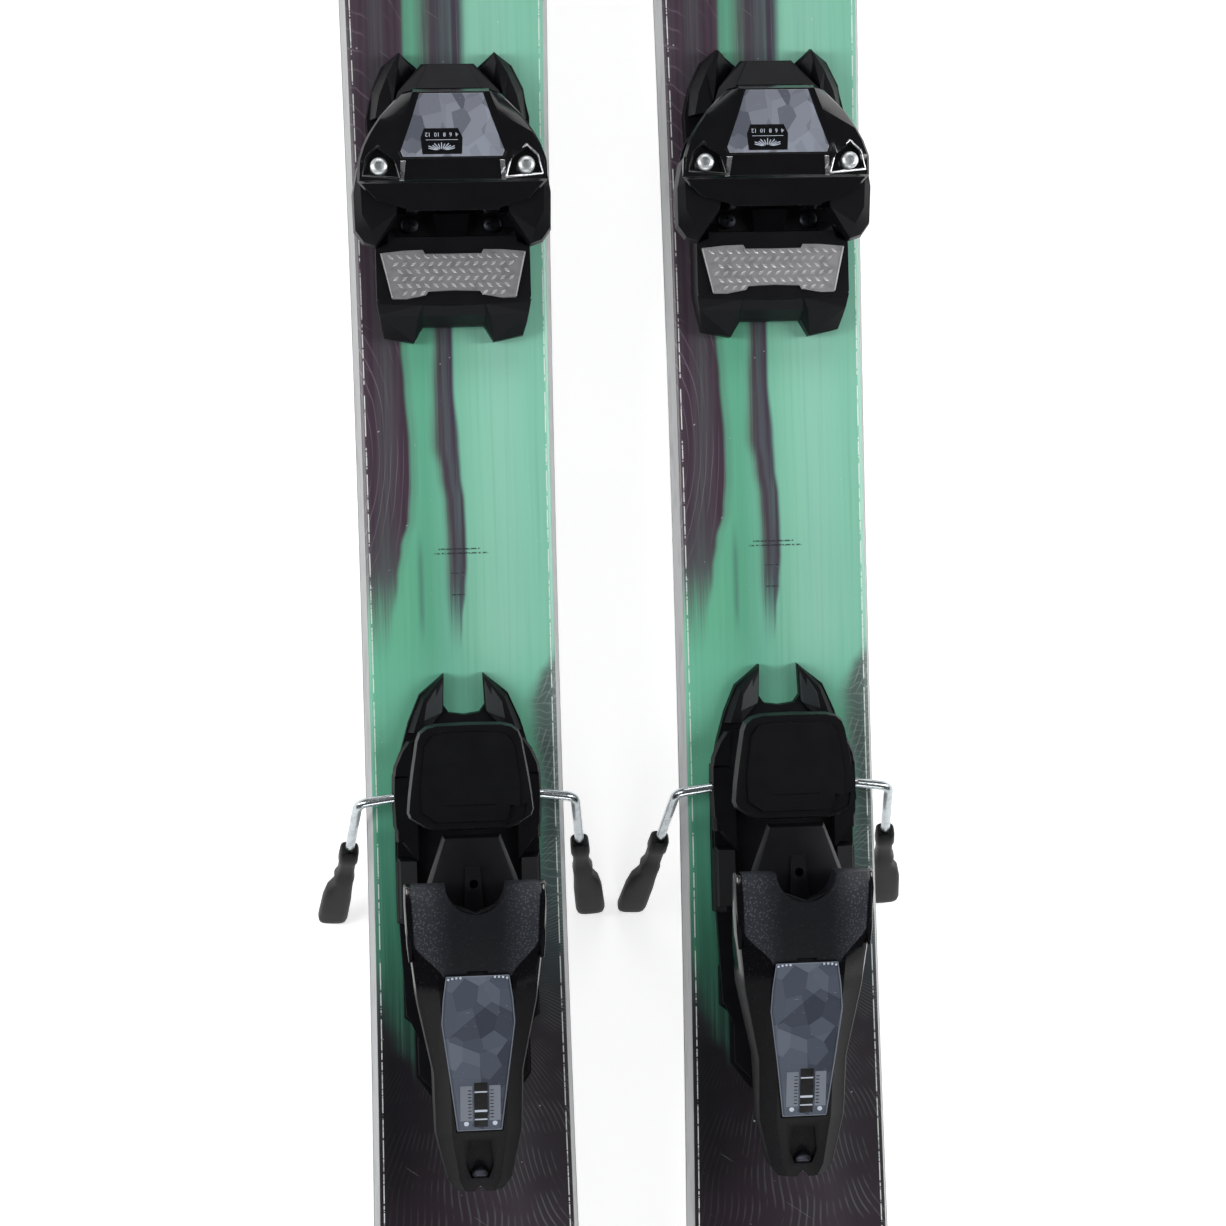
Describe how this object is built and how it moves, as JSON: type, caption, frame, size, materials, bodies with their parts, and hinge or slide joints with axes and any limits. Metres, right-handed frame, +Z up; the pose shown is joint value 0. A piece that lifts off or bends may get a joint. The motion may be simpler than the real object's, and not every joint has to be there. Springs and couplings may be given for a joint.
{
  "type": "alpine skis with bindings",
  "caption": "Pair of all-mountain alpine skis with rocker tips and step-in toe and heel bindings, heel levers open and ski brakes down.",
  "frame": {"origin": "centre of the pair on the surface that the lowered brake arms touch", "axes": "+X across the skis to the right ski, +Y along the skis to the tips, +Z up from the bases to the top sheets"},
  "size_m": [0.2882, 1.7287, 0.1575],
  "materials": {
    "running_base": "satin",
    "edge_steel": "ground",
    "wood_core": "raw",
    "sidewall": "satin",
    "topsheet": "clear lacquer over printed film",
    "gloss_black": "high gloss",
    "satin_black": "moulded satin",
    "brake_plastic": "moulded satin",
    "window": "printed under clear plastic",
    "stainless_plate": "stamped tread",
    "zinc_steel": "bright zinc",
    "scale_plastic": "satin"
  },
  "bodies": {
    "left_ski": {"left_base": "running_base", "left_edge": "edge_steel", "left_sidewall": "sidewall", "left_core": "wood_core", "left_topsheet": "topsheet", "left_toe_plate": "satin_black", "left_toe_housing": "gloss_black", "left_toe_pin_left": "zinc_steel", "left_toe_pin_right": "zinc_steel", "left_toe_spring": "zinc_steel", "left_afd_frame": "satin_black", "left_heel_track": "satin_black"},
    "left_toe_wing_left": {"left_toe_wing_left": "gloss_black"},
    "left_toe_wing_right": {"left_toe_wing_right": "gloss_black"},
    "left_sole_slider": {"left_afd_plate": "stainless_plate"},
    "left_toe_setting_screw": {"left_toe_screw": "zinc_steel"},
    "left_toe_indicator": {"left_toe_scale": "scale_plastic"},
    "left_carriage": {"left_heel_carriage": "satin_black", "left_heel_axle": "zinc_steel"},
    "left_length_adjuster": {"left_length_screw": "zinc_steel"},
    "left_heel_lever": {"left_heel_housing": "gloss_black", "left_heel_cup": "satin_black", "left_heel_window": "window", "left_heel_spring": "zinc_steel"},
    "left_heel_setting_screw": {"left_heel_screw": "zinc_steel"},
    "left_heel_indicator": {"left_heel_scale": "scale_plastic"},
    "left_brake_arms": {"left_brake_wire": "zinc_steel", "left_brake_tip_left": "brake_plastic", "left_brake_tip_right": "brake_plastic"},
    "left_pedal": {"left_brake_pedal": "satin_black"},
    "right_ski": {"right_base": "running_base", "right_edge": "edge_steel", "right_sidewall": "sidewall", "right_core": "wood_core", "right_topsheet": "topsheet", "right_toe_plate": "satin_black", "right_toe_housing": "gloss_black", "right_toe_pin_left": "zinc_steel", "right_toe_pin_right": "zinc_steel", "right_toe_spring": "zinc_steel", "right_afd_frame": "satin_black", "right_heel_track": "satin_black"},
    "right_toe_wing_left": {"right_toe_wing_left": "gloss_black"},
    "right_toe_wing_right": {"right_toe_wing_right": "gloss_black"},
    "right_sole_slider": {"right_afd_plate": "stainless_plate"},
    "right_toe_setting_screw": {"right_toe_screw": "zinc_steel"},
    "right_toe_indicator": {"right_toe_scale": "scale_plastic"},
    "right_carriage": {"right_heel_carriage": "satin_black", "right_heel_axle": "zinc_steel"},
    "right_length_adjuster": {"right_length_screw": "zinc_steel"},
    "right_heel_lever": {"right_heel_housing": "gloss_black", "right_heel_cup": "satin_black", "right_heel_window": "window", "right_heel_spring": "zinc_steel"},
    "right_heel_setting_screw": {"right_heel_screw": "zinc_steel"},
    "right_heel_indicator": {"right_heel_scale": "scale_plastic"},
    "right_brake_arms": {"right_brake_wire": "zinc_steel", "right_brake_tip_left": "brake_plastic", "right_brake_tip_right": "brake_plastic"},
    "right_pedal": {"right_brake_pedal": "satin_black"}
  },
  "joints": [
    {"name": "left_toe_wing_left_swing", "type": "hinge", "parent": "left_ski", "child": "left_toe_wing_left", "pos_m": [-0.1065, 0.0975, 0.11296], "axis": [0, 0, 1], "range_deg": [-30, 0], "stiffness_Nm_per_rad": 0.5, "springref_deg": 45.84},
    {"name": "left_toe_wing_right_swing", "type": "hinge", "parent": "left_ski", "child": "left_toe_wing_right", "pos_m": [-0.0405, 0.0975, 0.11296], "axis": [0, 0, 1], "range_deg": [0, 30], "stiffness_Nm_per_rad": 0.5, "springref_deg": -45.84},
    {"name": "left_sole_slider_shift", "type": "slide", "parent": "left_ski", "child": "left_sole_slider", "axis": [1, 0, 0], "range_m": [-0.003, 0.003], "stiffness_N_per_m": 150},
    {"name": "left_toe_setting", "type": "slide", "parent": "left_ski", "child": "left_toe_indicator", "axis": [0, 1, 0], "range_m": [-0.003, 0.003], "deforming": ["left_toe_spring"]},
    {"name": "left_toe_screw_turn", "type": "hinge", "parent": "left_ski", "child": "left_toe_setting_screw", "pos_m": [-0.0735, 0.1295, 0.10946], "axis": [0, 1, 0], "range_deg": [-721, 721]},
    {"name": "left_heel_length", "type": "slide", "parent": "left_ski", "child": "left_carriage", "axis": [0, 1, 0], "range_m": [-0.016, 0.016]},
    {"name": "left_length_screw_turn", "type": "hinge", "parent": "left_ski", "child": "left_length_adjuster", "pos_m": [-0.0735, -0.3293, 0.08811], "axis": [0, 1, 0], "range_deg": [-1441, 1441]},
    {"name": "left_heel_lever_tilt", "type": "hinge", "parent": "left_carriage", "child": "left_heel_lever", "pos_m": [-0.0735, -0.265, 0.11446], "axis": [1, 0, 0], "range_deg": [-25, 0]},
    {"name": "left_heel_setting", "type": "slide", "parent": "left_heel_lever", "child": "left_heel_indicator", "axis": [0, -0.9954, -0.0961], "range_m": [-0.003, 0.003], "deforming": ["left_heel_spring"]},
    {"name": "left_heel_screw_turn", "type": "hinge", "parent": "left_heel_lever", "child": "left_heel_setting_screw", "pos_m": [-0.0735, -0.362, 0.11796], "axis": [0, -0.9954, -0.0961], "range_deg": [-721, 721]},
    {"name": "left_brake_swing", "type": "hinge", "parent": "left_carriage", "child": "left_brake_arms", "pos_m": [-0.0735, -0.1875, 0.09646], "axis": [1, 0, 0], "range_deg": [-55, 0], "stiffness_Nm_per_rad": 1, "springref_deg": 114.59},
    {"name": "left_pedal_pivot", "type": "hinge", "parent": "left_brake_arms", "child": "left_pedal", "pos_m": [-0.0735, -0.17, 0.12396], "axis": [1, 0, 0], "range_deg": [0, 55.1]},
    {"name": "right_ski_lift", "type": "slide", "parent": "left_ski", "child": "right_ski", "axis": [0, 0, 1], "range_m": [0, 0.3]},
    {"name": "right_toe_wing_left_swing", "type": "hinge", "parent": "right_ski", "child": "right_toe_wing_left", "pos_m": [0.0405, 0.0975, 0.11296], "axis": [0, 0, 1], "range_deg": [-30, 0], "stiffness_Nm_per_rad": 0.5, "springref_deg": 45.84},
    {"name": "right_toe_wing_right_swing", "type": "hinge", "parent": "right_ski", "child": "right_toe_wing_right", "pos_m": [0.1065, 0.0975, 0.11296], "axis": [0, 0, 1], "range_deg": [0, 30], "stiffness_Nm_per_rad": 0.5, "springref_deg": -45.84},
    {"name": "right_sole_slider_shift", "type": "slide", "parent": "right_ski", "child": "right_sole_slider", "axis": [1, 0, 0], "range_m": [-0.003, 0.003], "stiffness_N_per_m": 150},
    {"name": "right_toe_setting", "type": "slide", "parent": "right_ski", "child": "right_toe_indicator", "axis": [0, 1, 0], "range_m": [-0.003, 0.003], "deforming": ["right_toe_spring"]},
    {"name": "right_toe_screw_turn", "type": "hinge", "parent": "right_ski", "child": "right_toe_setting_screw", "pos_m": [0.0735, 0.1295, 0.10946], "axis": [0, 1, 0], "range_deg": [-721, 721]},
    {"name": "right_heel_length", "type": "slide", "parent": "right_ski", "child": "right_carriage", "axis": [0, 1, 0], "range_m": [-0.016, 0.016]},
    {"name": "right_length_screw_turn", "type": "hinge", "parent": "right_ski", "child": "right_length_adjuster", "pos_m": [0.0735, -0.3293, 0.08811], "axis": [0, 1, 0], "range_deg": [-1441, 1441]},
    {"name": "right_heel_lever_tilt", "type": "hinge", "parent": "right_carriage", "child": "right_heel_lever", "pos_m": [0.0735, -0.265, 0.11446], "axis": [1, 0, 0], "range_deg": [-25, 0]},
    {"name": "right_heel_setting", "type": "slide", "parent": "right_heel_lever", "child": "right_heel_indicator", "axis": [0, -0.9954, -0.0961], "range_m": [-0.003, 0.003], "deforming": ["right_heel_spring"]},
    {"name": "right_heel_screw_turn", "type": "hinge", "parent": "right_heel_lever", "child": "right_heel_setting_screw", "pos_m": [0.0735, -0.362, 0.11796], "axis": [0, -0.9954, -0.0961], "range_deg": [-721, 721]},
    {"name": "right_brake_swing", "type": "hinge", "parent": "right_carriage", "child": "right_brake_arms", "pos_m": [0.0735, -0.1875, 0.09646], "axis": [1, 0, 0], "range_deg": [-55, 0], "stiffness_Nm_per_rad": 1, "springref_deg": 114.59},
    {"name": "right_pedal_pivot", "type": "hinge", "parent": "right_brake_arms", "child": "right_pedal", "pos_m": [0.0735, -0.17, 0.12396], "axis": [1, 0, 0], "range_deg": [0, 55.1]}
  ],
  "couplings": [
    {"joint": "left_toe_screw_turn", "follows": "left_toe_setting", "rad_per_m": 4188.8},
    {"joint": "left_length_screw_turn", "follows": "left_heel_length", "rad_per_m": 1570.8},
    {"joint": "left_heel_screw_turn", "follows": "left_heel_setting", "rad_per_m": 4188.8},
    {"joint": "left_pedal_pivot", "follows": "left_brake_swing", "ratio": -1},
    {"joint": "right_toe_screw_turn", "follows": "right_toe_setting", "rad_per_m": 4188.8},
    {"joint": "right_length_screw_turn", "follows": "right_heel_length", "rad_per_m": 1570.8},
    {"joint": "right_heel_screw_turn", "follows": "right_heel_setting", "rad_per_m": 4188.8},
    {"joint": "right_pedal_pivot", "follows": "right_brake_swing", "ratio": -1}
  ]
}
